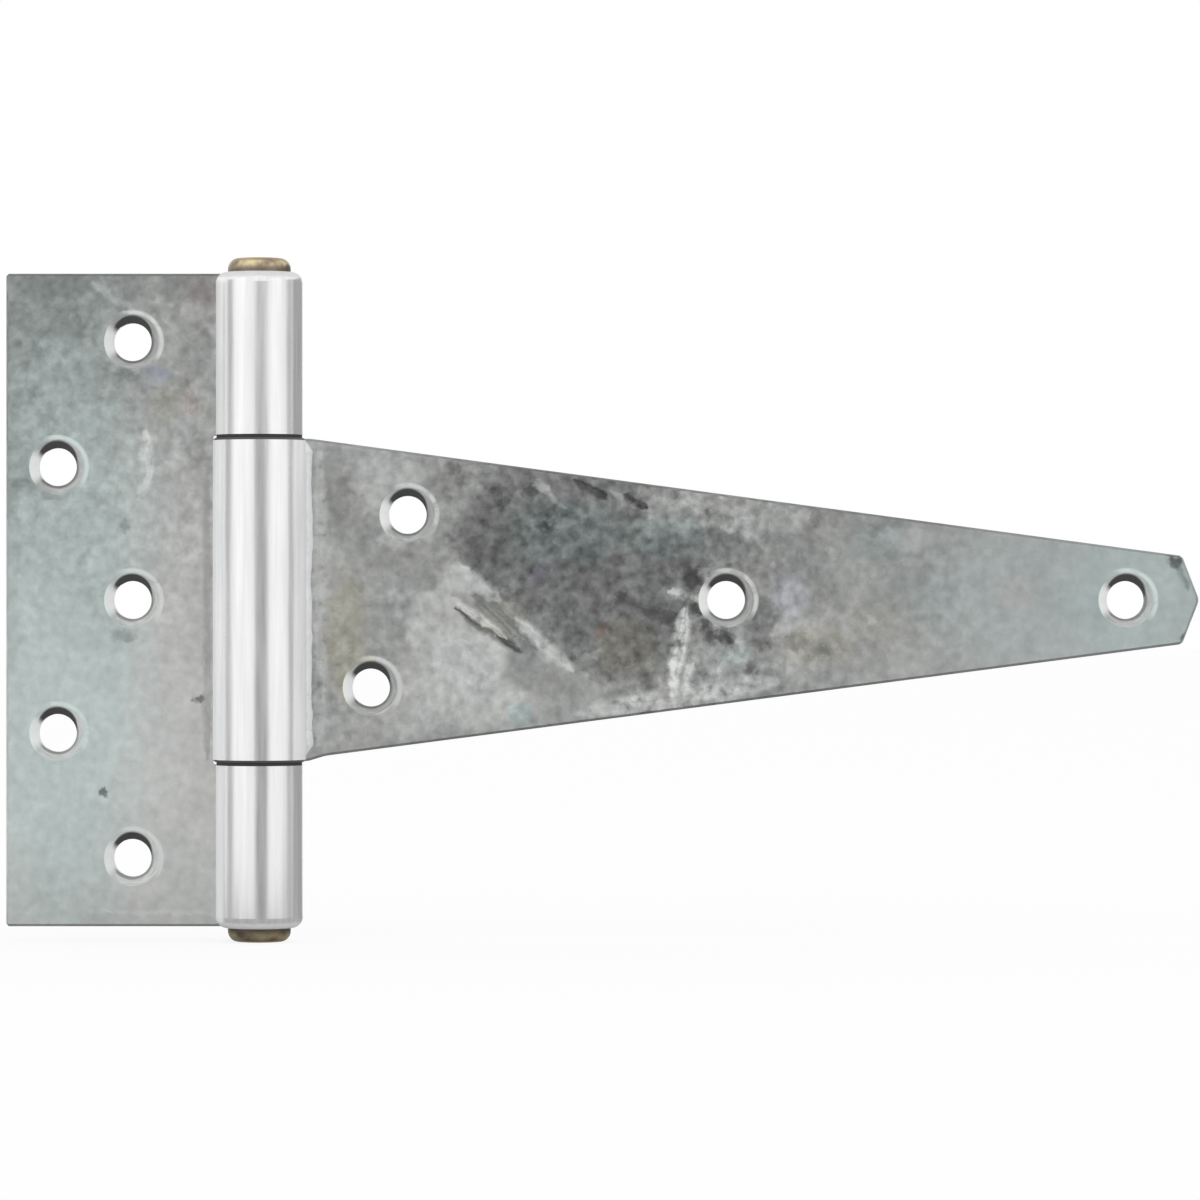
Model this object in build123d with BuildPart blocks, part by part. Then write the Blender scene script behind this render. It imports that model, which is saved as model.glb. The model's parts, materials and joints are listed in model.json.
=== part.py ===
from build123d import *
import math
import os

# Tee hinge: a rectangular leaf and a long tapered strap, both rolled round one brass pin.
# The strap lies open to the right of the pin, and the leaf is fixed to the left of it.
# The origin is the leaf's middle screw hole, on the back face that lies on the post.
# X runs along the strap, Y into the post and Z up along the pin. All sizes are in millimetres.

# Pin and the fit of the knuckles on it
pin_diameter = 8.0
pin_clearance = 0.05
head_overhang = 1.1
head_height = 2.2
head_rim = 0.5
head_crown = 5.8

# Sheets, and the rolled edge where each knuckle closes on its own plate
leaf_sheet = 3.0
strap_sheet = 3.5
seam_gap = 0.25
edge_break = 0.4
barrel_round = 1.8

# Leaf: reach is from the pin's axis to the far edge
leaf_height = 106.4
leaf_reach = 41.5
notch_clearance = 0.3
axial_gap = 0.5

# Strap: length is from the pin's axis to the point of the tip
# Each edge leaves the barrel at a shoulder, and the lower edge also steps in there
strap_length = 153.0
strap_knuckle = 52.6
shoulder = 0.5
lower_shoulder = 3.0
lower_step = 0.9
tip_width = 14.4
tip_point = 2.8
tip_round = 2.0

# Screw holes, countersunk in the front faces
hole_diameter = 6.2
sink_diameter = 9.1
sink_angle = 90

# Leaf screws: an inner row of three, and an outer row of two between them
inner_row = 21.0
inner_inset = 11.1
outer_inset = 8.3
outer_spacing = 43.4

# Strap screws: a staggered pair beside the barrel, one midway and one near the tip
upper_screw = (23.9, 13.9)
lower_screw = (17.9, -14.3)
middle_screw = 75.9
tip_inset = 11.9

# Sizes that follow from the ones above
pin_radius = pin_diameter / 2
head_radius = pin_radius + head_overhang
bore = pin_radius + pin_clearance
leaf_radius = bore + leaf_sheet
strap_radius = bore + strap_sheet
notch_edge = strap_radius + notch_clearance
notch_height = strap_knuckle + 2 * axial_gap
half_height = leaf_height / 2
inner_rise = half_height - inner_inset

# Planes on the pin's axis: the sections lie flat, and the front views face out of the post
pin_axis = (inner_row, -leaf_radius, 0)
strap_section = Plane(origin=pin_axis, x_dir=(1, 0, 0), z_dir=(0, 0, 1))
leaf_section = Plane(origin=pin_axis, x_dir=(-1, 0, 0), z_dir=(0, 0, -1))
front_view = Plane(origin=pin_axis, x_dir=(1, 0, 0), z_dir=(0, -1, 0))
plate_front = front_view.offset(-bore)


def rolled_sheet(plane, sheet, reach):
    """Section of a plate that runs in along the back and is rolled once round the pin."""
    radius = bore + sheet
    wrap = 270 + math.degrees(math.asin((bore - seam_gap) / radius))
    with BuildSketch(plane) as section:
        with BuildLine():
            inside = CenterArc((0, 0), bore, 90, wrap)
            outside = CenterArc((0, 0), radius, 90, wrap)
            Line(inside @ 1, outside @ 1)
            Polyline(inside @ 0, (reach, bore), (reach, radius), outside @ 0)
        make_face()
    return section.sketch


def is_sheared(face):
    """True for the flat faces round a sheet's outline, which stand square to its front."""
    facing = Axis(face.center(), face.normal_at())
    return face.geom_type == GeomType.PLANE and Axis.Y.is_normal(facing)


def screw_holes(*centres):
    """Countersunk holes at these distances from the pin's axis and mid-height."""
    with Locations(plate_front):
        with Locations(*centres):
            CounterSinkHole(hole_diameter / 2, sink_diameter / 2, counter_sink_angle=sink_angle)


# Leaf with its upper and lower knuckles
with BuildPart() as jamb_leaf:
    add(rolled_sheet(leaf_section, leaf_sheet, leaf_reach))
    extrude(amount=half_height, both=True)
    chamfer(jamb_leaf.faces().filter_by(is_sheared).edges(), edge_break)
    with BuildSketch(front_view):
        with Locations((-notch_edge, 0)):
            Rectangle(notch_edge + leaf_radius, notch_height, align=(Align.MIN, Align.CENTER))
    extrude(amount=leaf_radius, both=True, mode=Mode.SUBTRACT)
    with BuildSketch(front_view):
        with BuildLine():
            corner = Polyline(
                (leaf_radius, half_height - barrel_round),
                (leaf_radius, half_height),
                (leaf_radius - barrel_round, half_height),
            )
            RadiusArc(corner @ 1, corner @ 0, barrel_round)
        make_face()
        mirror(about=Plane.XZ)
    revolve(axis=Axis(pin_axis, (0, 0, 1)), mode=Mode.SUBTRACT)
    screw_holes(
        (-inner_row, inner_rise),
        (-inner_row, 0),
        (-inner_row, -inner_rise),
        (outer_inset - leaf_reach, outer_spacing / 2),
        (outer_inset - leaf_reach, -outer_spacing / 2),
    )

jamb_leaf.part.label = "jamb_leaf"

# Strap with the middle knuckle, tapering to a blunt point
with BuildPart() as strap_leaf:
    add(rolled_sheet(strap_section, strap_sheet, strap_length))
    extrude(amount=strap_knuckle / 2, both=True)
    with BuildSketch(front_view) as outline:
        with BuildLine():
            Polyline(
                (-strap_radius, -strap_knuckle / 2),
                (-strap_radius, strap_knuckle / 2),
                (strap_radius + shoulder, strap_knuckle / 2),
                (strap_length - tip_point, tip_width / 2),
                (strap_length, 0),
                (strap_length - tip_point, -tip_width / 2),
                (strap_radius + lower_shoulder, lower_step - strap_knuckle / 2),
                (strap_radius, -strap_knuckle / 2),
                close=True,
            )
        make_face()
        fillet(outline.vertices().sort_by(Axis.X)[-1], tip_round)
    extrude(amount=strap_radius, both=True, mode=Mode.INTERSECT)
    chamfer(strap_leaf.faces().filter_by(is_sheared).edges(), edge_break)
    screw_holes(upper_screw, lower_screw, (middle_screw, 0), (strap_length - tip_inset, 0))

strap_leaf.part.label = "strap_leaf"

# Pin, turned with a low head at each end
with BuildPart() as hinge_pin:
    with BuildSketch(front_view):
        with BuildLine():
            shank = Polyline(
                (0, 0),
                (pin_radius, 0),
                (pin_radius, half_height),
                (head_radius, half_height),
                (head_radius, half_height + head_rim),
            )
            crown = (head_crown / 2, half_height + head_height)
            TangentArc(shank @ 1, crown, tangent=shank % 1)
            Polyline(crown, (0, half_height + head_height), (0, 0))
        make_face()
        mirror(about=Plane.XZ)
    revolve(axis=Axis(pin_axis, (0, 0, 1)))

hinge_pin.part.label = "hinge_pin"

os.makedirs("parts", exist_ok=True)
export_step(jamb_leaf.part, "parts/jamb_leaf.step")
export_step(strap_leaf.part, "parts/strap_leaf.step")
export_step(hinge_pin.part, "parts/hinge_pin.step")
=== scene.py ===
import json
import math
from types import SimpleNamespace

import bmesh
import bpy
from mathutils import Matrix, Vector, noise


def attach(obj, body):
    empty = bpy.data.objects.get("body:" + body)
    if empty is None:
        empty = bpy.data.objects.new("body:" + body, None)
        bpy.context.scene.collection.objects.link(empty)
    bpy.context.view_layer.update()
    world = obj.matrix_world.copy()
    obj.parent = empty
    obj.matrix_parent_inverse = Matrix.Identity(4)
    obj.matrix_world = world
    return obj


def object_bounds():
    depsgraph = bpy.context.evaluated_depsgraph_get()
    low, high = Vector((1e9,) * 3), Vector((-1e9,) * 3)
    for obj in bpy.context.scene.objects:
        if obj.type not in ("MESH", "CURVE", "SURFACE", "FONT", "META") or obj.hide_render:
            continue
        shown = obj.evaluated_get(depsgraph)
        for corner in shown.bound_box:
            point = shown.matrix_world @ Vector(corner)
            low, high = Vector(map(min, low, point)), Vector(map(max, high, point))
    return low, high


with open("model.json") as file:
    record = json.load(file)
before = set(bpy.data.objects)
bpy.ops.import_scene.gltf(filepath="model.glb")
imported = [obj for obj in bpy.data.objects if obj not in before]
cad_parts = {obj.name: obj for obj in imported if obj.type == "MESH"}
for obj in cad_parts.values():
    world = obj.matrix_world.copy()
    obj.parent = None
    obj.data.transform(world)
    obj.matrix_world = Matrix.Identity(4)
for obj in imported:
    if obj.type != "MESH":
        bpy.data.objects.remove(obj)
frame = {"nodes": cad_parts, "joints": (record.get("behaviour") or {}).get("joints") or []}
cad_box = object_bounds()

# The finish of a galvanised tee hinge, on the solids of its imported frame.
# Places on the plates are given in millimetres from the pin's axis and from mid-height:
# across is positive along the strap and negative along the leaf, and up is along the pin.
# A mask's pair of numbers is where it starts and where it is whole. Tones are shares of white.

MM_PER_METRE = 1000.0
PIN_AXIS = Vector(frame["joints"][0]["pos_m"])
ORIGIN = (0.0, 0.0, 0.0)
PLATE_PLANE = (1.0, 0.0, 1.0)
ACROSS_PIN = (1.0, 1.0, 0.0)

# Radii about the pin's axis, the depth of the plates' fronts behind it, and the heights of the pin's heads
LEAF_RADIUS = 7.05
STRAP_RADIUS = 7.55
PLATE_FRONT = 4.05
PIN_HEAD_FOOT = 53.2
PIN_HEAD_TOP = 55.4

# Screw holes: their radii, and their places across and up
SINK_RADIUS = 4.55
HOLE_RADIUS = 3.1
LEAF_HOLES = ((-21.0, 42.1), (-21.0, 0.0), (-21.0, -42.1), (-33.2, 21.7), (-33.2, -21.7))
STRAP_HOLES = ((23.9, 13.9), (17.9, -14.3), (75.9, 0.0), (141.1, 0.0))

# Zinc in the seams: how far it sinks into the sheet, and the steps that draw it, in millimetres
SEAM_SINK = 0.15
SEAM_STEP = 0.25
SEAM_ARC_STEPS = 8
SEAM_END_TAPER = 1.5
SEAM_LUMP = 6.0
SEAM_DRIP = 2.4
LEFT, RIGHT = -1, 1
SEAMS = {
    # name: body, material slot, knuckle's radius, side of the pin, bottom, top, fillet, wander
    "strap_seam": ("strap", "strap_zinc", STRAP_RADIUS, RIGHT, -25.2, 25.7, 1.25, 0.22),
    "upper_seam": ("leaf", "leaf_zinc", LEAF_RADIUS, LEFT, 27.0, 52.5, 0.55, 0.2),
    "lower_seam": ("leaf", "leaf_zinc", LEAF_RADIUS, LEFT, -52.5, -27.0, 0.55, 0.2),
}

# Near-black rings in the joints between the knuckles, as painted shade there, in millimetres
JOINT_SHADE_INNER = 4.3
JOINT_SHADE_OUTER = 6.95
JOINT_SHADE_HALF = 0.19
JOINT_SHADE_STEPS = 64
JOINT_HEIGHT = 26.55

# Photograph: the width seen at the plates' front faces, its centre and the camera's distance, in metres.
# A tilt of 90 degrees looks straight ahead.
PICTURE_WIDTH = 0.1956
PICTURE_CENTRE_FROM_PIN = 0.0553
CAMERA_DISTANCE = 1.0
CAMERA_CLIP = 0.01
CAMERA_TILT = 90.0

# Studio: lamps and flags stand round the pin at angles from the camera's line, in degrees
WHITE = (1.0, 1.0, 1.0, 1.0)
AMBIENT = 0.95
FLOOR_SIZE = 12.0
FLOOR_COLOUR = (0.95, 0.95, 0.95, 1.0)
FLOOR_GLOW = 0.85
RECTANGLE = [(0, 1, 2, 3)]
LAMPS = {
    # name: angle, elevation, distance, width, height, radiance
    "lamp_left": (-48.0, 15.0, 1.2, 0.7, 1.0, 0.12),
    "lamp_right": (48.0, 15.0, 1.2, 0.7, 1.0, 0.12),
    "lamp_top": (0.0, 80.0, 1.4, 1.2, 1.2, 0.15),
}

# Flags: at each step of its arc a flag has a corner by the pin, one at the rim's foot and one at its top
FLAG_RADIUS = 1.5
FLAG_FOOT = 0.03
FLAG_STEP = 2.0
FLAG_CORNERS = 3
FLAGS = {
    # name: first angle, last angle, height above the pin's middle, grey
    "flag_front": (-8.0, 24.0, 0.16, 0.30),
    "flag_left": (-90.0, -72.0, 0.6, 0.42),
    "flag_right": (80.0, 98.0, 0.6, 0.48),
    "flag_behind": (102.0, 160.0, 0.6, 0.34),
}
UNDER_FLAG_RISE = 0.0002
UNDER_FLAG_MARGIN = 0.05
UNDER_FLAG_GREY = 0.4

# Places of the vector sockets on a mix node
MIX_FACTOR, MIX_FIRST, MIX_SECOND, MIX_RESULT = 0, 4, 5, 1

# Masks of a sheet by distance, in millimetres: the barrel's is beyond its radius
BARREL_FADE = (1.0, 0.2)
FRONT_FADE = (PLATE_FRONT + 0.35, PLATE_FRONT + 0.1)
INNER_ENDS = (45.0, 40.0)

# Masks of a sheet by how far its surface faces a way
LEVEL_FACES = (0.3, 0.65)
TURNED_AWAY = (0.95, 0.8)
FACING_UP = (0.3, 0.7)
FACING_DOWN = (-0.3, -0.7)

# Countersinks: painted shade in the dark hood at the top and at the lip, a painted highlight on the bright
# cheek, and a painted highlight on the side that catches the light
SINK_FADE = (SINK_RADIUS + 0.3, SINK_RADIUS)
HOOD_DEPTH = 2.0
HOOD_FADE = (0.0, 0.4)
CHEEK_SIDE = (0.5, 0.68)
LIP_FADE = (0.55, 0.25)
GLINT_RADIUS = SINK_RADIUS + 0.3
GLINT_SIDE = Vector((0.8, 0.0, 0.6))
ARC_TURN = (0.3, 2.8)
ARC_EDGE = (0.55, 0.15)

# Patches: small ones have softer and more frayed edges, and all are whole up to a share of their size
SMALL_MARK = 3.3
LARGE_WHOLE = 0.5
SMALL_WHOLE = 0.3

# Scratches: shares of the length and of the width, and the fine lines that comb them
STROKE_START = (-0.15, 0.2)
STROKE_END = (1.15, 0.8)
STROKE_EDGE = (0.7, 0.15)
STROKE_GAPS = (0.2, 0.45)
COMB_PITCH = 0.5
COMB_LENGTH = 5.0
COMB_LINES = (0.3, 0.6)
COMB_DEPTH = (0.65, 1.0)

# Noises: size of their lumps in millimetres, and detail
RAGGED_NOISE = (3.2, 3.0)
TORN_NOISE = (0.9, 2.0)
CLOUD_NOISE = (22.0, 3.0)
WISP_NOISE = (5.5, 4.0)
MOTTLE_NOISE = (5.0, 4.0)
GRAIN_NOISE = (1.6, 2.0)
TINT_NOISE = (9.0, 2.0)
STREAK_NOISE = (0.9, 3.0)
COMB_NOISE = (1.0, 2.0)
RUN_NOISE = (1.2, 2.0)
DENT_NOISE = (1.6, 2.0)
DIRT_NOISE = (2.4, 3.0)
SPANGLE_SIZE = 2.3
NOISE_MIDDLE = (0.5, 0.5, 0.5)

# Stretches: the back's noises differ from the front's, streaks run along the pin and wisps across it
DEEP_STRETCH = (1.0, 7.0, 1.0)
STREAK_STRETCH = (1.0, 1.0, 0.05)
WISP_STRETCH = (0.45, 1.0, 1.0)

# How far the ragged noise, or the ragged and the torn one, push things about, in millimetres
WISP_PUSH = 14.0
SPANGLE_PUSH = 5.0
WORN_PUSH = 5.0
SCRATCHED_PUSH = 1.6
FRAYED_PUSH = (2.2, 2.2)
NICKED_PUSH = (1.2, 0.7)

# Tints of the thin film on the plates and on the barrel
FILM_COOL = (0.94, 1.0, 0.985)
FILM_WARM = (1.0, 0.985, 0.96)
BARREL_COOL = (0.965, 0.97, 1.0)
BARREL_WARM = (1.0, 0.99, 0.97)

# Tones of the zinc: a shift is added and a gain multiplies, as a noise or mask goes from 0 to 1.
# Busy is how mottled a place is, and a flank is the dull side of a barrel, whose paler tone is painted
# light.
BACK_BUSY = 0.3
STIR_GAIN = 2.5
CLOUD_SHIFT = (-0.16, 0.16)
WISP_SHIFT = (-0.20, 0.20)
GRAIN_GAIN = (-0.1, 2.1)
SPANGLE_GAIN = (0.86, 1.14)
EDGE_GAIN = (1.0, 0.9)
OVER_GAIN = (1.0, 0.6)
# Painted shade: the lower sheared edges darker
UNDER_SHADE_GAIN = (1.0, 0.75)
# Painted shade: darker at the bore's edge in each countersink
LIP_SHADE_GAIN = (1.0, 0.5)
# Painted shade: the knuckles' end faces in the joints between them, nearly black
JOINT_END_SHADE_GAIN = (1.0, 0.12)
# Painted highlight: a broken bright arc on each countersink's upper right rim
GLINT_BREAKS = (0.2, 0.5)
GLINT_TONE = 0.84
# Painted shade: the top of each countersink, nearly black
HOOD_SHADE_TONE = 0.06
# Painted highlight: the left cheek of each countersink, nearly white
CHEEK_HIGHLIGHT_TONE = 0.97
BARREL_TONES = (0.74, 1.04)
# Painted light: the flanks' paler tone stands in for light from the sides
FLANK_TONES = (0.84, 1.10)
END_TONES = (0.6, 0.85)

# Gloss of the zinc, and its relief as a depth in metres and a strength
PLATE_ROUGHNESS = (0.30, 0.50)
BARREL_ROUGHNESS = (0.16, 0.32)
FLANK_ROUGHNESS = (0.36, 0.52)
DULL_ROUGHNESS = 0.6
ZINC_METAL = 0.9
FLANK_METAL = 0.3
DULL_METAL = 0.2
ZINC_RELIEF = (0.00001, 1.0)

# Leaf: tone and mottle by height, and where its barrel is dull with a paler tone that is painted light
LEAF_TONE_HEIGHTS = (56.0, -22.0)
LEAF_TONES = (0.395, 0.675)
LEAF_BUSY_HEIGHTS = (45.0, -30.0)
LEAF_BUSY = (0.42, 0.17)
LEAF_FLANK = (-5.2, -5.9)

# Strap: tone and mottle by distance from the pin, how far its dark patch runs, and its dull flanks, whose
# paler tone is painted light
STRAP_TONE_REACH = (20.0, 60.0)
STRAP_TONES = (0.50, 0.46)
TIP_REACH = (104.0, 150.0)
TIP_TONE = 0.57
STRAP_BUSY_REACH = (80.0, 135.0)
STRAP_BUSY = (0.4, 0.15)
DARK_START = (27.0, 33.0)
DARK_END = (95.0, 70.0)
DARK_BUSY = 0.85
STRAP_FLANK = (5.4, 6.1)

# Zinc that ran into the seams, greyer where it thins out on the plate
RUN_COLOUR = (0.985, 0.99, 1.0)
RUN_TONES = (0.74, 1.0)
RUN_THIN = (STRAP_RADIUS + 0.3, STRAP_RADIUS + 1.8)
RUN_THIN_GAIN = (1.0, 0.82)
RUN_ROUGHNESS = (0.2, 0.45)
RUN_METAL = 0.25
RUN_RELIEF = (0.0001, 0.5)

# Near-black rings, painted shade in the joints between the knuckles
JOINT_SHADE_COLOUR = (0.035, 0.032, 0.028, 1.0)
JOINT_SHADE_ROUGHNESS = 0.6

# Brass heads: golden on the crown, brown at the top's rim, dirty at the foot, and darker on the lower head
# as painted shade
BRASS_GOLD = (0.82, 0.68, 0.42)
BRASS_BROWN = (0.30, 0.21, 0.11)
BRASS_DIRT = (0.22, 0.185, 0.145)
BRASS_CROWN = (PIN_HEAD_FOOT + 0.2, PIN_HEAD_FOOT + 1.2)
BRASS_RIM = (PIN_HEAD_TOP - 0.7, PIN_HEAD_TOP - 0.2)
BRASS_RIM_SHARE = 0.7
BRASS_CLEAN = (0.2, 0.7)
BRASS_HEIGHTS = (-PIN_HEAD_FOOT, PIN_HEAD_FOOT)
BRASS_SHADE_GAIN = (0.6, 1.0)
BRASS_ROUGHNESS = (0.3, 0.5)
BRASS_METAL = 0.95
BRASS_RELIEF = (0.0002, 0.6)

# The scrape that parts the strap's dark patch from the pale one, and the sides of it that a patch is on
SCRAPE = ((33.0, 5.6), (51.4, -10.9))
SCRAPE_EDGE = (-0.6, 0.6)
EITHER, ABOVE, BELOW = 0, 1, -1

# Marks on the strap's front face
STRAP_MARKS = SimpleNamespace(
    patches=(
        # centre, half width and half height, tone, strength, side of the scrape
        ((50.0, 19.0), (20.0, 7.5), 0.26, 0.85, EITHER),
        ((44.0, 8.0), (17.0, 14.0), 0.235, 0.92, ABOVE),
        ((36.6, 10.5), (4.8, 8.5), 0.205, 0.90, ABOVE),
        ((58.0, -1.0), (18.0, 16.0), 0.22, 0.90, ABOVE),
        ((58.0, 12.5), (4.5, 3.5), 0.21, 0.70, EITHER),
        ((72.5, 8.6), (11.0, 4.4), 0.24, 0.85, EITHER),
        ((84.0, 4.0), (13.0, 9.0), 0.38, 0.60, EITHER),
        ((36.5, -12.5), (14.0, 11.0), 0.71, 0.95, BELOW),
        ((28.5, -4.0), (6.5, 8.0), 0.68, 0.80, BELOW),
        ((23.5, -16.5), (6.5, 8.0), 0.67, 0.75, EITHER),
        ((33.0, 3.6), (6.0, 3.8), 0.72, 0.90, BELOW),
        ((43.4, -11.0), (5.0, 5.0), 0.34, 0.85, BELOW),
        ((47.5, -14.0), (5.0, 4.5), 0.44, 0.70, BELOW),
        ((11.5, 17.0), (4.2, 9.0), 0.32, 0.75, EITHER),
        ((16.0, 12.0), (5.0, 4.5), 0.38, 0.70, EITHER),
        ((25.0, 5.5), (7.0, 5.0), 0.39, 0.75, EITHER),
        ((21.0, 21.0), (6.0, 2.6), 0.60, 0.75, EITHER),
        ((31.0, 18.6), (6.0, 2.6), 0.33, 0.80, EITHER),
        ((59.7, -9.5), (6.5, 5.4), 0.26, 0.70, EITHER),
        ((71.7, -9.8), (3.5, 2.7), 0.44, 0.80, EITHER),
        ((54.8, -8.7), (2.2, 1.4), 0.42, 0.60, EITHER),
        ((70.5, 3.4), (2.6, 3.2), 0.09, 0.95, EITHER),
        ((81.2, -4.5), (3.2, 8.5), 0.24, 0.80, EITHER),
        ((77.3, -9.0), (2.6, 2.0), 0.54, 0.75, EITHER),
        ((74.9, -5.9), (3.2, 1.7), 0.10, 0.90, EITHER),
        ((71.0, -1.3), (1.6, 1.5), 0.10, 0.90, EITHER),
        ((72.4, -4.0), (1.8, 1.7), 0.10, 0.90, EITHER),
        ((66.2, -2.9), (3.0, 2.2), 0.11, 0.85, EITHER),
        ((81.0, -7.2), (1.5, 1.7), 0.20, 0.70, EITHER),
        ((80.1, -11.3), (1.7, 1.5), 0.17, 0.80, EITHER),
        ((44.3, 17.7), (2.1, 1.6), 0.11, 0.90, EITHER),
        ((39.9, 15.6), (1.8, 1.4), 0.14, 0.85, EITHER),
        ((38.4, 17.8), (1.6, 1.8), 0.16, 0.80, EITHER),
        ((46.6, 12.0), (2.4, 1.5), 0.10, 0.90, EITHER),
        ((47.0, 14.5), (2.6, 1.5), 0.12, 0.80, EITHER),
        ((86.6, -0.2), (3.4, 4.2), 0.62, 0.70, EITHER),
        ((85.5, 13.3), (6.5, 2.4), 0.56, 0.75, EITHER),
        ((97.0, 4.0), (5.0, 5.0), 0.50, 0.50, EITHER),
        ((105.0, 9.8), (6.5, 2.2), 0.56, 0.55, EITHER),
        ((93.3, 7.5), (1.4, 1.8), 0.60, 0.60, EITHER),
        ((99.7, -3.5), (1.2, 1.2), 0.66, 0.70, EITHER),
        ((87.4, -6.8), (3.2, 2.0), 0.27, 0.70, EITHER),
        ((91.4, -8.2), (3.2, 1.8), 0.25, 0.75, EITHER),
        ((94.0, -6.4), (2.4, 1.2), 0.32, 0.50, EITHER),
        ((90.5, 13.0), (1.6, 1.6), 0.25, 0.65, EITHER),
        ((100.2, 11.0), (1.6, 1.2), 0.28, 0.60, EITHER),
        ((149.0, 6.3), (2.0, 1.6), 0.12, 0.90, EITHER),
        ((150.8, -6.2), (1.5, 1.1), 0.16, 0.85, EITHER),
    ),
    strokes=(
        # start, end, width, tone, strength
        ((9.6, -23.5), (9.6, 24.0), 2.6, 0.70, 0.70),
        ((35.2, 0.8), (45.0, -7.6), 4.4, 0.24, 0.90),
        ((51.2, 19.5), (56.5, 16.7), 1.7, 0.08, 1.0),
        ((59.1, 17.2), (63.0, 15.0), 1.5, 0.09, 1.0),
        ((44.3, 19.6), (47.0, 17.9), 1.6, 0.56, 0.90),
        ((45.5, 18.6), (50.0, 14.6), 1.0, 0.42, 0.70),
        ((57.1, 17.8), (58.9, 16.3), 1.1, 0.50, 0.80),
        ((58.1, 0.9), (64.2, -2.2), 2.2, 0.12, 0.85),
        ((62.3, -1.9), (69.0, -3.0), 2.2, 0.10, 0.90),
        ((32.2, -1.3), (42.4, -8.5), 2.1, 0.12, 1.0),
        ((31.4, 0.2), (40.0, -6.2), 1.4, 0.80, 1.0),
        ((32.7, 5.3), (38.8, -0.1), 2.3, 0.72, 0.90),
        ((38.8, -0.2), (41.7, -3.2), 1.2, 0.45, 0.60),
        ((41.7, -3.2), (50.9, -11.5), 2.0, 0.74, 0.95),
        ((52.2, -11.8), (56.4, -15.2), 1.4, 0.50, 0.80),
        ((52.0, -18.4), (84.0, -13.2), 3.6, 0.70, 0.85),
        ((69.2, -1.4), (67.0, -15.2), 2.5, 0.90, 0.95),
        ((70.6, -10.4), (68.6, -14.2), 1.5, 0.76, 0.90),
        ((66.4, 1.4), (71.4, 0.0), 1.7, 0.66, 0.85),
        ((83.5, 6.1), (83.3, 3.4), 1.0, 0.54, 0.80),
        ((148.9, 6.4), (151.4, 1.6), 1.3, 0.22, 0.60),
    ),
    stains=(
        # centre, half width and half height, tint, strength
        ((14.0, -6.0), (4.5, 14.0), (1.0, 0.985, 0.83), 0.8),
        ((50.0, 11.0), (13.0, 7.0), (0.87, 1.0, 0.985), 0.8),
        ((66.0, 10.0), (9.0, 5.0), (0.88, 1.0, 0.985), 0.8),
        ((44.7, 4.4), (3.4, 1.8), (0.95, 0.92, 1.10), 0.9),
        ((39.5, -3.0), (5.0, 4.0), (1.0, 0.99, 0.925), 0.8),
        ((77.3, -9.0), (3.0, 2.4), (0.89, 1.02, 1.0), 0.8),
        ((59.7, -8.0), (7.0, 6.0), (1.0, 0.98, 0.88), 0.8),
        ((55.6, -4.6), (1.5, 1.6), (1.0, 0.78, 0.70), 0.9),
        ((42.5, -19.0), (2.6, 2.8), (0.86, 1.03, 1.0), 0.8),
        ((86.0, 0.6), (4.0, 5.0), (0.97, 0.97, 1.04), 0.8),
        ((91.0, -7.5), (8.0, 4.5), (1.0, 0.985, 0.88), 0.8),
        ((106.0, -4.0), (13.0, 5.5), (1.0, 0.99, 0.93), 0.7),
        ((101.0, 9.5), (6.0, 4.0), (0.90, 1.0, 0.985), 0.7),
        ((111.0, 1.0), (6.0, 4.5), (0.92, 1.0, 0.985), 0.7),
        ((128.0, 0.0), (30.0, 16.0), (0.915, 1.0, 0.99), 0.8),
        ((124.0, 1.0), (5.0, 3.5), (1.02, 0.985, 0.965), 0.6),
        ((149.0, 0.0), (28.0, 16.0), (0.87, 1.0, 0.985), 0.9),
    ),
)

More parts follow.
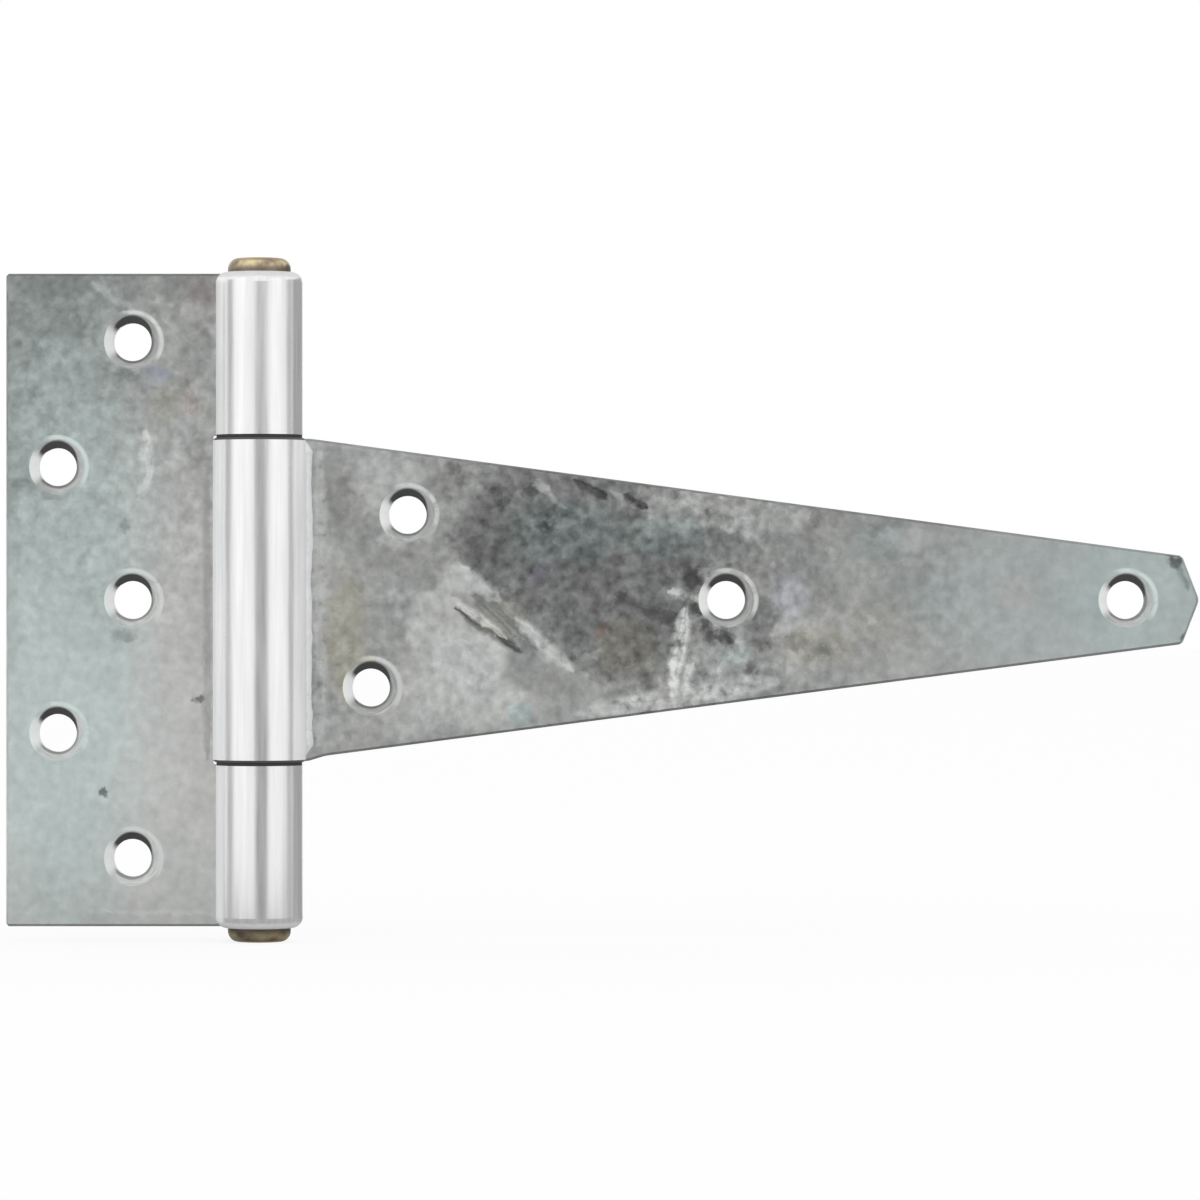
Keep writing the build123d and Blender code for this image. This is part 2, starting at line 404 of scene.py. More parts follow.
# Marks on the leaf's front face, in the same columns
LEAF_MARKS = SimpleNamespace(
    patches=(
        ((-40.8, 16.0), (2.2, 36.0), 0.38, 0.30, EITHER),
        ((-34.0, 51.8), (9.0, 3.2), 0.27, 0.80, EITHER),
        ((-12.0, 50.8), (6.0, 3.0), 0.31, 0.75, EITHER),
        ((-38.0, 44.0), (4.0, 9.0), 0.35, 0.40, EITHER),
        ((-32.5, 36.0), (6.5, 9.0), 0.52, 0.50, EITHER),
        ((-10.5, 41.0), (3.6, 7.0), 0.36, 0.60, EITHER),
        ((-22.1, 36.7), (2.6, 2.4), 0.26, 0.80, EITHER),
        ((-22.5, -5.8), (3.0, 1.6), 0.38, 0.70, EITHER),
        ((-10.5, 24.4), (2.8, 2.8), 0.34, 0.70, EITHER),
        ((-10.5, 24.4), (1.4, 1.4), 0.52, 0.70, EITHER),
        ((-25.5, -31.5), (1.0, 1.1), 0.16, 0.85, EITHER),
        ((-10.0, -16.0), (1.1, 1.1), 0.18, 0.85, EITHER),
        ((-39.4, 19.0), (2.4, 1.8), 0.30, 0.75, EITHER),
        ((-22.3, 12.1), (1.6, 1.5), 0.36, 0.75, EITHER),
        ((-11.7, 17.0), (1.5, 1.0), 0.68, 0.70, EITHER),
    ),
    strokes=(
        ((-27.5, 51.7), (-20.9, 47.4), 1.8, 0.58, 0.50),
        ((-38.6, 19.3), (-34.2, 16.7), 1.6, 0.38, 0.70),
        ((-16.4, 46.6), (-11.2, 41.8), 0.9, 0.58, 0.50),
        ((-18.7, 27.6), (-18.2, 20.1), 2.3, 0.82, 0.80),
        ((-18.2, 20.3), (-19.8, 16.5), 1.8, 0.78, 0.70),
        ((-21.5, 27.3), (-21.5, 21.0), 1.6, 0.66, 0.55),
        # Painted shade: a dark line on the leaf beside the middle knuckle, in the gap round it
        ((-8.7, -26.0), (-8.7, 21.0), 1.6, 0.36, 0.65),
        ((-15.5, 13.6), (-11.7, 7.0), 1.5, 0.66, 0.45),
        ((-27.1, 9.0), (-27.3, 2.6), 1.4, 0.66, 0.40),
        ((-22.5, -9.6), (-22.3, -16.4), 2.2, 0.72, 0.50),
        ((-26.0, -50.8), (-8.0, -51.0), 0.9, 0.80, 0.55),
    ),
    stains=(
        ((-33.0, 0.0), (18.0, 75.0), (0.87, 1.0, 0.975), 0.9),
        ((-9.0, -8.0), (8.0, 40.0), (1.0, 0.995, 0.975), 0.9),
        ((-15.5, 32.1), (2.4, 4.6), (1.0, 1.0, 0.89), 0.7),
        ((-17.1, 37.0), (2.5, 1.8), (0.92, 0.96, 1.08), 0.9),
        ((-11.7, 31.7), (2.4, 3.0), (1.04, 0.97, 0.95), 0.8),
        ((-9.5, 50.5), (4.0, 2.6), (1.04, 0.97, 0.96), 0.8),
    ),
)


class Surface:
    """One node material, built so that a finish reads as sums of masks and noises."""

    def __init__(self, name):
        self.material = bpy.data.materials.new(name)
        self.material.use_nodes = True
        self.nodes = self.material.node_tree.nodes
        self.links = self.material.node_tree.links
        self.shader = self.nodes["Principled BSDF"]

    def put(self, socket, value):
        """Feeds a socket from another node's output, or sets it to a plain value."""
        if isinstance(value, bpy.types.NodeSocket):
            self.links.new(value, socket)
        else:
            socket.default_value = value

    def shade(self, **inputs):
        """Sets the shader's inputs by name, with an underscore for each space."""
        for key, value in inputs.items():
            self.put(self.shader.inputs[key.replace("_", " ")], value)

    def node(self, kind, inputs, **settings):
        """Adds a node with these settings and inputs."""
        made = self.nodes.new("ShaderNode" + kind)
        for key, value in settings.items():
            setattr(made, key, value)
        for key, value in inputs.items():
            self.put(made.inputs[key], value)
        return made

    def calc(self, operation, first, second=0.0, clamp=False):
        """Arithmetic on two numbers."""
        made = self.node("Math", {0: first, 1: second}, operation=operation, use_clamp=clamp)
        return made.outputs["Value"]

    def times(self, *factors):
        """Product of several numbers."""
        product = factors[0]
        for factor in factors[1:]:
            product = self.calc("MULTIPLY", product, factor)
        return product

    def vector(self, operation, first, second, result="Vector"):
        """Arithmetic on two vectors."""
        made = self.node("VectorMath", {0: first, 1: second}, operation=operation)
        return made.outputs[result]

    def scaled(self, vector, factor):
        """A vector times a number."""
        made = self.node("VectorMath", {0: vector, "Scale": factor}, operation="SCALE")
        return made.outputs["Vector"]

    def parts(self, vector):
        """A vector's three parts."""
        return self.node("SeparateXYZ", {"Vector": vector}).outputs

    def length(self, vector):
        """A vector's length."""
        return self.vector("LENGTH", vector, ORIGIN, "Value")

    def ease(self, value, low, high):
        """Rises smoothly from 0 at low to 1 at high, whichever of the two is greater."""
        inputs = {"Value": value, "From Min": low, "From Max": high}
        return self.node("MapRange", inputs, interpolation_type="SMOOTHSTEP").outputs["Result"]

    def spread(self, value, low, high):
        """Turns a share from 0 to 1 into a number between low and high."""
        inputs = {"Value": value, "To Min": low, "To Max": high}
        return self.node("MapRange", inputs).outputs["Result"]

    def noise(self, point, size, detail, output="Fac"):
        """Soft noise with lumps of this size in millimetres."""
        inputs = {"Vector": point, "Scale": 1.0 / size, "Detail": detail}
        return self.node("TexNoise", inputs).outputs[output]

    def cells(self, point, size):
        """A number of its own for each crystal of about this size in millimetres."""
        made = self.node("TexVoronoi", {"Vector": point, "Scale": 1.0 / size})
        return self.parts(made.outputs["Color"])[0]

    def bump(self, height, depth, strength):
        """Direction of a surface with this relief."""
        inputs = {"Height": height, "Distance": depth, "Strength": strength}
        return self.node("Bump", inputs).outputs["Normal"]

    def mix(self, factor, first, second):
        """A number between two numbers."""
        made = self.node("Mix", {"Factor": factor, "A": first, "B": second}, data_type="FLOAT")
        return made.outputs["Result"]

    def mix_vector(self, factor, first, second):
        """A vector between two vectors."""
        inputs = {MIX_FACTOR: factor, MIX_FIRST: first, MIX_SECOND: second}
        return self.node("Mix", inputs, data_type="VECTOR").outputs[MIX_RESULT]

    def place(self):
        """Millimetres from the pin's axis and mid-height: across, depth and up."""
        source = self.nodes.new("ShaderNodeTexCoord")
        offset = self.vector("SUBTRACT", source.outputs["Object"], PIN_AXIS)
        return self.scaled(offset, MM_PER_METRE)

    def direction(self):
        """The way that the surface faces."""
        return self.nodes.new("ShaderNodeTexCoord").outputs["Normal"]

    def from_axis(self, point):
        """Distance from the pin's axis."""
        return self.length(self.vector("MULTIPLY", point, ACROSS_PIN))

    def distance(self, point, centre):
        """Distance from a place on a plate's front."""
        return self.vector("DISTANCE", point, (centre[0], 0.0, centre[1]), "Value")

    def patch(self, point, centre, half_size, whole):
        """Mask of a soft-edged ellipse on a plate's front, whole up to this share of its size."""
        offset = self.vector("SUBTRACT", point, (centre[0], 0.0, centre[1]))
        shares = self.vector("MULTIPLY", offset, (1.0 / half_size[0], 0.0, 1.0 / half_size[1]))
        return self.ease(self.length(shares), 1.0, whole)

    def stroke(self, point, start, end, width):
        """Mask of a scratch from start to end on a plate's front, combed into fine lines along it."""
        first = Vector((start[0], 0.0, start[1]))
        along = Vector((end[0], 0.0, end[1])) - first
        over = Vector((-along.z, 0.0, along.x)).normalized()
        offset = self.vector("SUBTRACT", point, first)
        share = self.vector("DOT_PRODUCT", offset, along / along.length_squared, "Value")
        share = self.calc("MULTIPLY", share, 1.0, clamp=True)
        nearest = self.scaled(tuple(along), share)
        swell = self.times(self.ease(share, *STROKE_START), self.ease(share, *STROKE_END))
        aside = self.calc("DIVIDE", self.vector("DISTANCE", offset, nearest, "Value"), swell)
        line = self.vector("DOT_PRODUCT", offset, over / COMB_PITCH, "Value")
        run = self.times(share, along.length / COMB_LENGTH)
        place = self.node("CombineXYZ", {"X": run, "Y": line, "Z": first.x}).outputs["Vector"]
        combed = self.ease(self.noise(place, *COMB_NOISE), *COMB_LINES)
        edge = [width * share_of_width for share_of_width in STROKE_EDGE]
        return self.times(self.ease(aside, *edge), self.spread(combed, *COMB_DEPTH))

    def arc(self, point, centre, radius, facing):
        """Mask of a thin arc round a hole, on the side that faces this way."""
        offset = self.vector("SUBTRACT", point, (centre[0], 0.0, centre[1]))
        aside = self.calc("ABSOLUTE", self.calc("SUBTRACT", self.length(offset), radius))
        turned_to = self.ease(self.vector("DOT_PRODUCT", offset, facing, "Value"), *ARC_TURN)
        return self.times(self.ease(aside, *ARC_EDGE), turned_to)

    def side(self, point, start, end):
        """1 on the upper side of a line that runs to the right on a plate's front, and 0 below it."""
        along = Vector((end[0] - start[0], 0.0, end[1] - start[1])).normalized()
        upper = Vector((-along.z, 0.0, along.x))
        offset = self.vector("SUBTRACT", point, (start[0], 0.0, start[1]))
        return self.ease(self.vector("DOT_PRODUCT", offset, upper, "Value"), *SCRAPE_EDGE)


def sheet_regions(surface, radius, holes):
    """Masks of a sheet's barrel, front face, sheared edges and countersinks, and of where shade and
    highlights are painted.
    """
    point = surface.place()
    across, depth, up = surface.parts(point)
    sideways, outward, upward = surface.parts(surface.direction())
    barrel_fade = [radius + beyond for beyond in BARREL_FADE]
    barrel = surface.ease(surface.from_axis(point), *barrel_fade)
    plate = surface.calc("SUBTRACT", 1.0, barrel)
    level_faces = surface.ease(surface.calc("ABSOLUTE", upward), *LEVEL_FACES)
    inner_ends = surface.ease(surface.calc("ABSOLUTE", up), *INNER_ENDS)
    turned = surface.ease(surface.calc("ABSOLUTE", outward), *TURNED_AWAY)
    flat = surface.vector("MULTIPLY", point, PLATE_PLANE)
    nearest = surface.distance(flat, holes[0])
    glint = surface.arc(flat, holes[0], GLINT_RADIUS, GLINT_SIDE)
    for centre in holes[1:]:
        nearest = surface.calc("MINIMUM", nearest, surface.distance(flat, centre))
        another = surface.arc(flat, centre, GLINT_RADIUS, GLINT_SIDE)
        glint = surface.calc("MAXIMUM", glint, another)
    from_bore = surface.calc("SUBTRACT", nearest, HOLE_RADIUS)
    sink = surface.times(surface.ease(nearest, *SINK_FADE), turned)
    edge = surface.times(surface.calc("SUBTRACT", turned, sink), plate)
    front = surface.ease(depth, *FRONT_FADE)
    # Where the countersinks get painted shade at the top and at the bore, and painted highlights on the
    # cheek and the rim
    overhang = surface.calc("SUBTRACT", surface.times(upward, -HOOD_DEPTH), from_bore)
    return SimpleNamespace(
        point=point,
        flat=flat,
        across=across,
        up=up,
        barrel=barrel,
        sink=sink,
        edge=edge,
        front=front,
        hood_shade=surface.times(sink, surface.ease(overhang, *HOOD_FADE)),
        cheek_highlight=surface.times(sink, surface.ease(sideways, *CHEEK_SIDE)),
        lip_shade=surface.times(sink, surface.ease(from_bore, *LIP_FADE)),
        glint=surface.times(glint, front),
        ends=surface.times(barrel, level_faces),
        joint_end_shade=surface.times(barrel, level_faces, inner_ends),
        under_shade=surface.times(edge, surface.ease(upward, *FACING_DOWN)),
        over=surface.times(edge, surface.ease(upward, *FACING_UP)),
    )


def sheet_noises(surface, point):
    """Noises of the zinc coat, and the pushes that make the outlines of its marks uneven."""
    deep = surface.vector("MULTIPLY", point, DEEP_STRETCH)
    drawn = surface.vector("MULTIPLY", point, STREAK_STRETCH)
    ragged = surface.vector("SUBTRACT", surface.noise(deep, *RAGGED_NOISE, "Color"), NOISE_MIDDLE)
    torn = surface.vector("SUBTRACT", surface.noise(deep, *TORN_NOISE, "Color"), NOISE_MIDDLE)
    pushed = surface.vector("ADD", deep, surface.scaled(ragged, WISP_PUSH))
    rolled = surface.vector("MULTIPLY", pushed, WISP_STRETCH)
    strained = surface.vector("ADD", deep, surface.scaled(ragged, SPANGLE_PUSH))

    def both(ragged_push, torn_push):
        """A push by the ragged noise and the torn one together."""
        return surface.vector("ADD", surface.scaled(ragged, ragged_push), surface.scaled(torn, torn_push))

    return SimpleNamespace(
        clouds=surface.noise(deep, *CLOUD_NOISE),
        wisps=surface.noise(rolled, *WISP_NOISE),
        mottle=surface.noise(deep, *MOTTLE_NOISE),
        grain=surface.noise(deep, *GRAIN_NOISE),
        tint=surface.noise(deep, *TINT_NOISE),
        streaks=surface.noise(drawn, *STREAK_NOISE),
        spangle=surface.cells(strained, SPANGLE_SIZE),
        worn=surface.scaled(ragged, WORN_PUSH),
        scratched=surface.scaled(ragged, SCRATCHED_PUSH),
        frayed=both(*FRAYED_PUSH),
        nicked=both(*NICKED_PUSH),
    )


def marked(surface, region, noises, marks, tone):
    """Adds the patches and strokes that show on a sheet's front."""
    worn = surface.vector("ADD", region.flat, noises.worn)
    scratched = surface.vector("ADD", region.flat, noises.scratched)
    frayed = surface.vector("ADD", region.flat, noises.frayed)
    nicked = surface.vector("ADD", region.flat, noises.nicked)
    above = surface.side(scratched, *SCRAPE)
    sides = {EITHER: 1.0, ABOVE: above, BELOW: surface.calc("SUBTRACT", 1.0, above)}
    for centre, half_size, target, strength, side in marks.patches:
        if half_size[0] > SMALL_MARK:
            shape = surface.patch(worn, centre, half_size, LARGE_WHOLE)
        else:
            shape = surface.patch(frayed, centre, half_size, SMALL_WHOLE)
        mask = surface.times(shape, region.front, sides[side], strength)
        tone = surface.mix(mask, tone, target)
    unbroken = surface.ease(noises.grain, *STROKE_GAPS)
    for start, end, width, target, strength in marks.strokes:
        shape = surface.stroke(nicked, start, end, width)
        mask = surface.times(shape, region.front, unbroken, strength)
        tone = surface.mix(mask, tone, target)
    return tone


def tinted(surface, region, noises, marks):
    """Colour of the thin film on the zinc, with stains on the front."""
    worn = surface.vector("ADD", region.flat, noises.worn)
    tint = surface.mix_vector(noises.tint, FILM_COOL, FILM_WARM)
    for centre, half_size, colour, strength in marks.stains:
        shape = surface.patch(worn, centre, half_size, LARGE_WHOLE)
        tint = surface.mix_vector(surface.times(shape, region.front, strength), tint, colour)
    rolled = surface.mix_vector(noises.streaks, BARREL_COOL, BARREL_WARM)
    return surface.mix_vector(region.barrel, tint, rolled)


def zinc(name, radius, holes, marks, plate_tone, flank):
    """Galvanised sheet: mottled plates with marks of wear, and a brighter rolled barrel."""
    surface = Surface(name)
    region = sheet_regions(surface, radius, holes)
    noises = sheet_noises(surface, region.point)

    tone, busy = plate_tone(surface, region)
    busy = surface.mix(region.front, BACK_BUSY, busy)
    stir = surface.calc("MINIMUM", surface.times(busy, STIR_GAIN), 1.0)
    tone = surface.calc("ADD", tone, surface.times(stir, surface.spread(noises.clouds, *CLOUD_SHIFT)))
    tone = surface.calc("ADD", tone, surface.times(stir, surface.spread(noises.wisps, *WISP_SHIFT)))
    tone = marked(surface, region, noises, marks, tone)
    tone = surface.times(
        tone,
        surface.mix(busy, 1.0, surface.spread(noises.grain, *GRAIN_GAIN)),
        surface.mix(busy, 1.0, surface.spread(noises.spangle, *SPANGLE_GAIN)),
        surface.spread(region.edge, *EDGE_GAIN),
        surface.spread(region.over, *OVER_GAIN),
        surface.spread(region.under_shade, *UNDER_SHADE_GAIN),
        surface.spread(region.lip_shade, *LIP_SHADE_GAIN),
    )
    # Painted highlights on the countersinks' rims and cheeks, and painted shade at their tops
    glint = surface.times(region.glint, surface.ease(noises.wisps, *GLINT_BREAKS))
    tone = surface.mix(glint, tone, GLINT_TONE)
    tone = surface.mix(region.hood_shade, tone, HOOD_SHADE_TONE)
    tone = surface.mix(region.cheek_highlight, tone, CHEEK_HIGHLIGHT_TONE)
    tone = surface.mix(region.barrel, tone, surface.spread(noises.streaks, *BARREL_TONES))
    # The barrel's flanks: dull zinc with a paler tone, painted light from the sides
    dull_lit_flank = surface.times(region.barrel, flank(surface, region))
    tone = surface.mix(dull_lit_flank, tone, surface.spread(noises.streaks, *FLANK_TONES))
    tone = surface.mix(region.ends, tone, surface.spread(noises.grain, *END_TONES))
    tone = surface.times(tone, surface.spread(region.joint_end_shade, *JOINT_END_SHADE_GAIN))
    tint = tinted(surface, region, noises, marks)

    dull = surface.calc("MAXIMUM", region.ends, region.sink)
    rough = surface.spread(noises.mottle, *PLATE_ROUGHNESS)
    rough = surface.mix(region.barrel, rough, surface.spread(noises.streaks, *BARREL_ROUGHNESS))
    rough = surface.mix(dull_lit_flank, rough, surface.spread(noises.streaks, *FLANK_ROUGHNESS))
    metal = surface.mix(dull_lit_flank, ZINC_METAL, FLANK_METAL)
    relief = surface.mix(region.barrel, surface.calc("ADD", noises.grain, noises.mottle), noises.streaks)
    surface.shade(
        Base_Color=surface.scaled(tint, tone),
        Roughness=surface.mix(dull, rough, DULL_ROUGHNESS),
        Metallic=surface.mix(dull, metal, DULL_METAL),
        Normal=surface.bump(relief, *ZINC_RELIEF),
    )
    return surface.material


def leaf_tone(surface, region):
    """Darker and more mottled towards the top of the leaf."""
    tone = surface.spread(surface.ease(region.up, *LEAF_TONE_HEIGHTS), *LEAF_TONES)
    return tone, surface.spread(surface.ease(region.up, *LEAF_BUSY_HEIGHTS), *LEAF_BUSY)


def leaf_flank(surface, region):
    """Dull, with a paler tone that is painted light, beside the leaf's own plate alone."""
    return surface.ease(region.across, *LEAF_FLANK)


def strap_tone(surface, region):
    """Even beside the barrel, more mottled in the dark patch, and paler at the tip."""
    middle = surface.spread(surface.ease(region.across, *STRAP_TONE_REACH), *STRAP_TONES)
    tone = surface.mix(surface.ease(region.across, *TIP_REACH), middle, TIP_TONE)
    dark = surface.times(
        surface.side(region.flat, *SCRAPE),
        surface.ease(region.across, *DARK_START),
        surface.ease(region.across, *DARK_END),
    )
    busy = surface.spread(surface.ease(region.across, *STRAP_BUSY_REACH), *STRAP_BUSY)
    return tone, surface.mix(dark, busy, DARK_BUSY)


def strap_flank(surface, region):
    """Dull, with a paler tone that is painted light, on both sides of the barrel."""
    return surface.ease(surface.calc("ABSOLUTE", region.across), *STRAP_FLANK)


def run_zinc():
    """Bright zinc that ran into the seams as the hinge was dipped."""
    surface = Surface("seam_zinc")
    point = surface.place()
    lumps = surface.noise(point, *RUN_NOISE)
    thin = surface.ease(surface.from_axis(point), *RUN_THIN)
    tone = surface.times(surface.spread(lumps, *RUN_TONES), surface.spread(thin, *RUN_THIN_GAIN))
    surface.shade(
        Base_Color=surface.scaled(RUN_COLOUR, tone),
        Roughness=surface.spread(lumps, *RUN_ROUGHNESS),
        Metallic=RUN_METAL,
        Normal=surface.bump(lumps, *RUN_RELIEF),
    )
    return surface.material


def joint_shade_finish():
    """Near-black finish for the rings that paint shade in the joints."""
    surface = Surface("joint_shade_ring")
    surface.shade(Base_Color=JOINT_SHADE_COLOUR, Roughness=JOINT_SHADE_ROUGHNESS)
    return surface.material


def brass():
    """Dull brass, beaten over at the ends."""
    surface = Surface("pin_brass")
    point = surface.place()
    up = surface.parts(point)["Z"]
    height = surface.calc("ABSOLUTE", up)
    dents = surface.noise(point, *DENT_NOISE)
    dirt = surface.noise(point, *DIRT_NOISE)
    crown = surface.ease(height, *BRASS_CROWN)
    clean = surface.times(surface.ease(dirt, *BRASS_CLEAN), crown)
    rim = surface.times(surface.ease(height, *BRASS_RIM), BRASS_RIM_SHARE)
    colour = surface.mix_vector(clean, BRASS_DIRT, BRASS_GOLD)
    colour = surface.mix_vector(rim, colour, BRASS_BROWN)
    # Painted shade: the lower head darker than the upper one
    gain = surface.spread(surface.ease(up, *BRASS_HEIGHTS), *BRASS_SHADE_GAIN)
    surface.shade(
        Base_Color=surface.scaled(colour, gain),
        Roughness=surface.spread(dirt, *BRASS_ROUGHNESS),
        Metallic=BRASS_METAL,
        Normal=surface.bump(dents, *BRASS_RELIEF),
    )
    return surface.material


def placed(name, data):
    """Puts a mesh, a lamp or a camera into the scene."""
    holder = bpy.data.objects.new(name, data)
    bpy.context.scene.collection.objects.link(holder)
    return holder


def seam_section(radius, fillet):
    """Section of a hollow fillet between a knuckle and its plate, as points across and deep."""
    middle_depth = PLATE_FRONT - fillet
    middle_across = math.sqrt((radius + fillet) ** 2 - middle_depth ** 2)
    first = math.pi + math.atan2(middle_depth, middle_across)
    last = math.pi / 2
    section = []
    for index in range(SEAM_ARC_STEPS + 1):
        turn = first + (last - first) * index / SEAM_ARC_STEPS
        section.append((middle_across + fillet * math.cos(turn), middle_depth + fillet * math.sin(turn)))
    sunk = 1.0 - SEAM_SINK / radius
    start = (section[0][0] * sunk, section[0][1] * sunk)
    corner = (math.sqrt(radius ** 2 - PLATE_FRONT ** 2), PLATE_FRONT + SEAM_SINK)
    return [start, *section, (middle_across, PLATE_FRONT + SEAM_SINK), corner]


def seam_size(up, bottom, top, size, wander):
    """Radius of the fillet at a height: it swells and thins, and fades out at both ends."""
    lumps = noise.noise(Vector((size, wander, up / SEAM_LUMP)))
    drips = max(0.0, noise.noise(Vector((wander, size, up / SEAM_DRIP))))
    fade = min(1.0, (min(up - bottom, top - up) + SEAM_END_TAPER) / (2 * SEAM_END_TAPER))
    return fade * (size + wander * (lumps + drips))


def loft(name, rings, closed, body, material):
    """Skins a row of sections given in millimetres from the pin's axis, and joins it to a body."""
    shape = bmesh.new()
    corners = []
    for ring in rings:
        places = [Vector(place) / MM_PER_METRE + PIN_AXIS for place in ring]
        corners.append([shape.verts.new(place) for place in places])
    following = corners[1:] + corners[:1] if closed else corners[1:]
    for lower, upper in zip(corners, following):
        for index in range(len(lower)):
            shape.faces.new((lower[index - 1], lower[index], upper[index], upper[index - 1]))
    if not closed:
        shape.faces.new(corners[0])
        shape.faces.new(corners[-1])
    bmesh.ops.recalc_face_normals(shape, faces=shape.faces)
    mesh = bpy.data.meshes.new(name)
    shape.to_mesh(mesh)
    shape.free()
    mesh.materials.append(material)
    piece = placed(name, mesh)
    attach(piece, body)
    return mesh


def seam(name, body, slot, radius, side, bottom, top, size, wander, material):
    """Lays zinc along the seam where a knuckle closes on its plate."""
    rings = []
    count = round((top - bottom) / SEAM_STEP)
    for index in range(count + 1):
        up = bottom + (top - bottom) * index / count
        section = seam_section(radius, seam_size(up, bottom, top, size, wander))
        rings.append([(side * across, depth, up) for across, depth in section])
    loft(name, rings, False, body, material).shade_smooth()


def lay_joint_shade_ring(name, up, material):
    """Lays a near-black ring in the joint between two knuckles, as painted shade in the gap."""
    section = ((JOINT_SHADE_INNER, -JOINT_SHADE_HALF), (JOINT_SHADE_OUTER, -JOINT_SHADE_HALF))
    section += ((JOINT_SHADE_OUTER, JOINT_SHADE_HALF), (JOINT_SHADE_INNER, JOINT_SHADE_HALF))
    rings = []
    for index in range(JOINT_SHADE_STEPS):
        turn = 2 * math.pi * index / JOINT_SHADE_STEPS
        along, aside = math.cos(turn), math.sin(turn)
        rings.append([(reach * along, reach * aside, up + rise) for reach, rise in section])
    loft(name, rings, True, "leaf", material)


def seen_rays(nodes, links):
    """1 for the rays that show a background: from the camera, or by way of metal or glass."""
    path = nodes.new("ShaderNodeLightPath")
    total = path.outputs["Is Camera Ray"]
    for name in ("Is Glossy Ray", "Is Transmission Ray"):
        either = nodes.new("ShaderNodeMath")
        either.operation = "MAXIMUM"
        links.new(total, either.inputs[0])
        links.new(path.outputs[name], either.inputs[1])
        total = either.outputs["Value"]
    return total


def white_world():
    """White behind the object, and a plain level of light all round it."""
    world = bpy.data.worlds.new("studio")
    bpy.context.scene.world = world
    world.use_nodes = True
    nodes, links = world.node_tree.nodes, world.node_tree.links
    background = nodes["Background"]
    background.inputs["Color"].default_value = WHITE
    strength = nodes.new("ShaderNodeMapRange")
    strength.inputs["To Min"].default_value = AMBIENT
    links.new(seen_rays(nodes, links), strength.inputs["Value"])
    links.new(strength.outputs["Result"], background.inputs["Strength"])


def bare_material(name):
    """A material with nothing but its output."""
    material = bpy.data.materials.new(name)
    material.use_nodes = True
    nodes = material.node_tree.nodes
    nodes.remove(nodes["Principled BSDF"])
    return material


def staged_mesh(name, vertices, faces, material):
    """A mesh that belongs to the studio and not to the object."""
    mesh = bpy.data.meshes.new(name)
    mesh.from_pydata(vertices, [], faces)
    mesh.materials.append(material)
    piece = placed(name, mesh)
    return piece


def level(low, high, height):
    """Corners of a level rectangle."""
    corners = ((low.x, low.y), (high.x, low.y), (high.x, high.y), (low.x, high.y))
    return [(x, y, height) for x, y in corners]


def white_floor(height):
    """Pale floor that shows white and keeps the hinge's shadow."""
    material = bare_material("floor")
    nodes, links = material.node_tree.nodes, material.node_tree.links
    diffuse = nodes.new("ShaderNodeBsdfDiffuse")
    diffuse.inputs["Color"].default_value = FLOOR_COLOUR
    glow = nodes.new("ShaderNodeEmission")
    glow.inputs["Color"].default_value = WHITE
    share = nodes.new("ShaderNodeMath")
    share.operation = "MULTIPLY"
    share.inputs[1].default_value = FLOOR_GLOW
    links.new(seen_rays(nodes, links), share.inputs[0])
    both = nodes.new("ShaderNodeMixShader")
    links.new(share.outputs["Value"], both.inputs["Fac"])
    links.new(diffuse.outputs["BSDF"], both.inputs[1])
    links.new(glow.outputs["Emission"], both.inputs[2])
    links.new(both.outputs["Shader"], nodes["Material Output"].inputs["Surface"])
    half = Vector((FLOOR_SIZE / 2, FLOOR_SIZE / 2, 0.0))
    staged_mesh("floor", level(PIN_AXIS - half, PIN_AXIS + half, height), RECTANGLE, material)


def flag(name, vertices, faces, grey):
    """Grey card that only reflections show, to give the metal its dark bands."""
    material = bare_material(name)
    nodes, links = material.node_tree.nodes, material.node_tree.links
    glow = nodes.new("ShaderNodeEmission")
    glow.inputs["Color"].default_value = (grey, grey, grey, 1.0)
    links.new(glow.outputs["Emission"], nodes["Material Output"].inputs["Surface"])
    card = staged_mesh(name, vertices, faces, material)
    card.visible_camera = False
    card.visible_diffuse = False
    card.visible_transmission = False
    card.visible_volume_scatter = False
    card.visible_shadow = False


def around(angle, elevation, distance):
    """A place round the pin, by its angle from the camera's line and its elevation."""
    turn, rise = math.radians(angle), math.radians(elevation)
    reach = distance * math.cos(rise)
    return PIN_AXIS + Vector((reach * math.sin(turn), -reach * math.cos(turn), distance * math.sin(rise)))


def curved_flag(name, first, last, height, grey):
    """Flag on an arc round the pin, which stands up and also reaches in along the floor."""
    count = round((last - first) / FLAG_STEP)
    low = cad_box[0].z + UNDER_FLAG_RISE
    high = PIN_AXIS.z + height
    vertices, faces = [], []
    for index in range(count + 1):
        angle = first + index * FLAG_STEP
        inner, outer = around(angle, 0.0, FLAG_FOOT), around(angle, 0.0, FLAG_RADIUS)
        vertices += [(inner.x, inner.y, low), (outer.x, outer.y, low), (outer.x, outer.y, high)]
    for foot in range(0, count * FLAG_CORNERS, FLAG_CORNERS):
        for corner in (foot, foot + 1):
            beside = corner + FLAG_CORNERS
            faces.append((corner, beside, beside + 1, corner + 1))
    flag(name, vertices, faces, grey)


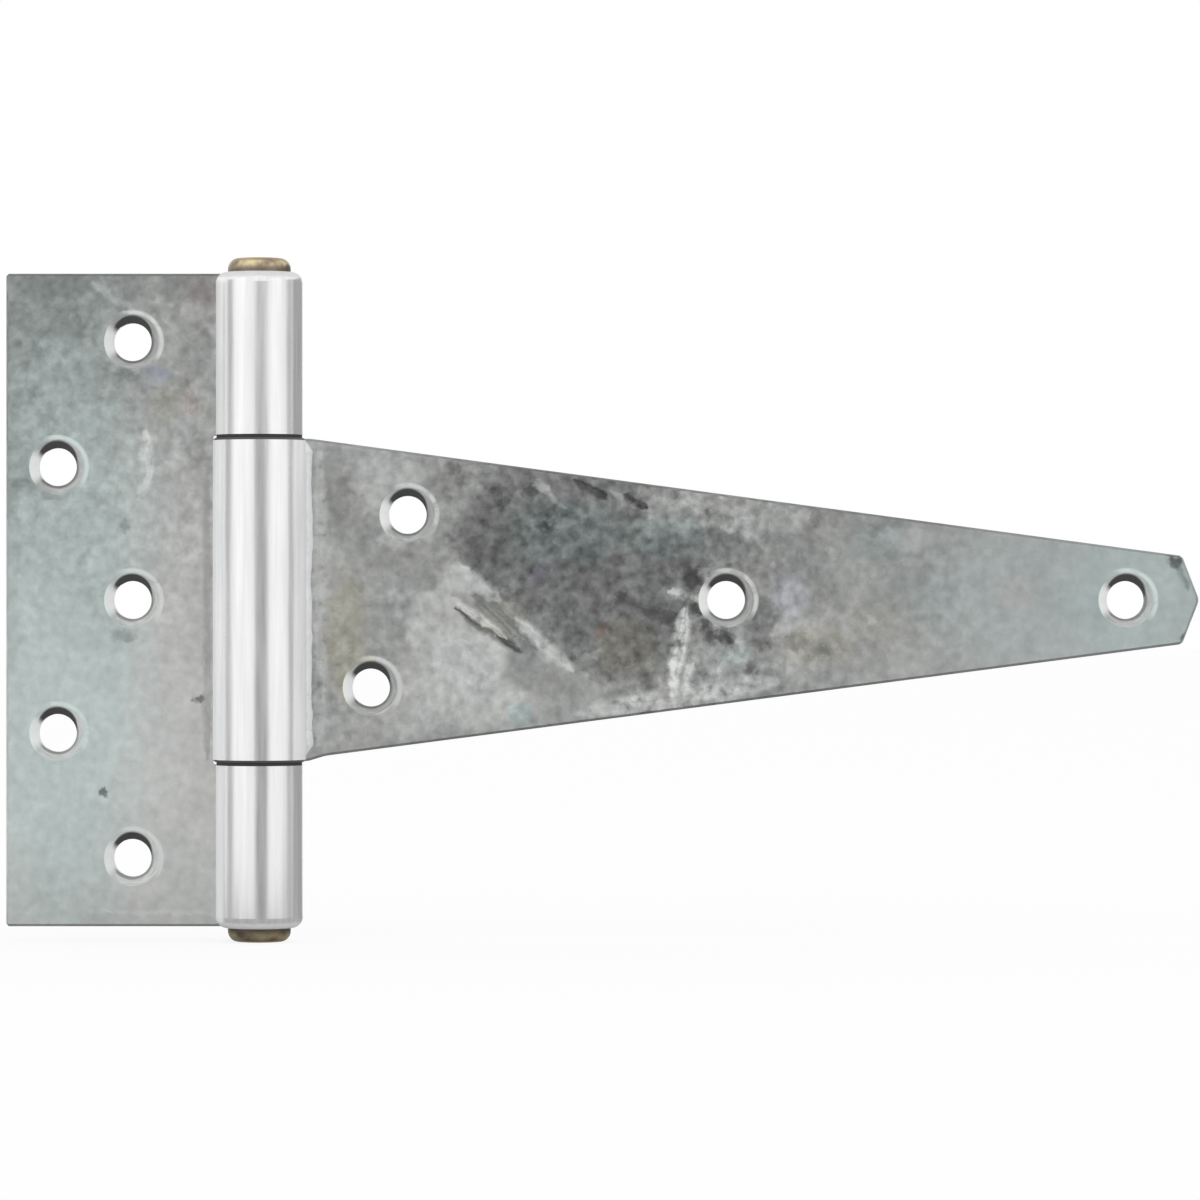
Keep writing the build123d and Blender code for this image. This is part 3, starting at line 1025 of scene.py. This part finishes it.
def under_flag(height):
    """Flag on the floor below the hinge, which darkens its lower edges."""
    margin = Vector((UNDER_FLAG_MARGIN, UNDER_FLAG_MARGIN, 0.0))
    corners = level(cad_box[0] - margin, cad_box[1] + margin, height + UNDER_FLAG_RISE)
    flag("flag_under", corners, RECTANGLE, UNDER_FLAG_GREY)


def lamp(name, angle, elevation, distance, width, height, radiance):
    """Soft rectangular lamp that points at the hinge."""
    light = bpy.data.lights.new(name, "AREA")
    light.shape = "RECTANGLE"
    light.size = width
    light.size_y = height
    light.energy = radiance * math.pi * width * height
    holder = placed(name, light)
    holder.location = around(angle, elevation, distance)
    holder.rotation_euler = (PIN_AXIS - holder.location).to_track_quat("-Z", "Y").to_euler()


def camera():
    """Square to the plates, as the photograph is."""
    data = bpy.data.cameras.new("camera")
    data.angle = 2 * math.atan(PICTURE_WIDTH / 2 / CAMERA_DISTANCE)
    data.clip_start = CAMERA_CLIP
    holder = placed("camera", data)
    front = PIN_AXIS.y + PLATE_FRONT / MM_PER_METRE
    holder.location = (PIN_AXIS.x + PICTURE_CENTRE_FROM_PIN, front - CAMERA_DISTANCE, PIN_AXIS.z)
    holder.rotation_euler = (math.radians(CAMERA_TILT), 0.0, 0.0)
    bpy.context.scene.camera = holder


def studio():
    """Floor, lamps, flags and camera."""
    lowest = cad_box[0].z
    white_world()
    white_floor(lowest)
    for name, place in LAMPS.items():
        lamp(name, *place)
    for name, place in FLAGS.items():
        curved_flag(name, *place)
    under_flag(lowest)
    camera()
    bpy.context.scene.view_settings.view_transform = "Standard"


def dress(node, material):
    """Gives a node of the frame its finish."""
    frame["nodes"][node].data.materials.clear()
    frame["nodes"][node].data.materials.append(material)


dress("jamb_leaf", zinc("leaf_zinc", LEAF_RADIUS, LEAF_HOLES, LEAF_MARKS, leaf_tone, leaf_flank))
dress("strap_leaf", zinc("strap_zinc", STRAP_RADIUS, STRAP_HOLES, STRAP_MARKS, strap_tone, strap_flank))
dress("hinge_pin", brass())
filler = run_zinc()
for seam_name, seam_place in SEAMS.items():
    seam(seam_name, *seam_place, filler)
# dirt holds the near-black finish of the rings, painted shade in the joints
dirt = joint_shade_finish()
lay_joint_shade_ring("upper_joint_shade_ring", JOINT_HEIGHT, dirt)
lay_joint_shade_ring("lower_joint_shade_ring", -JOINT_HEIGHT, dirt)
studio()
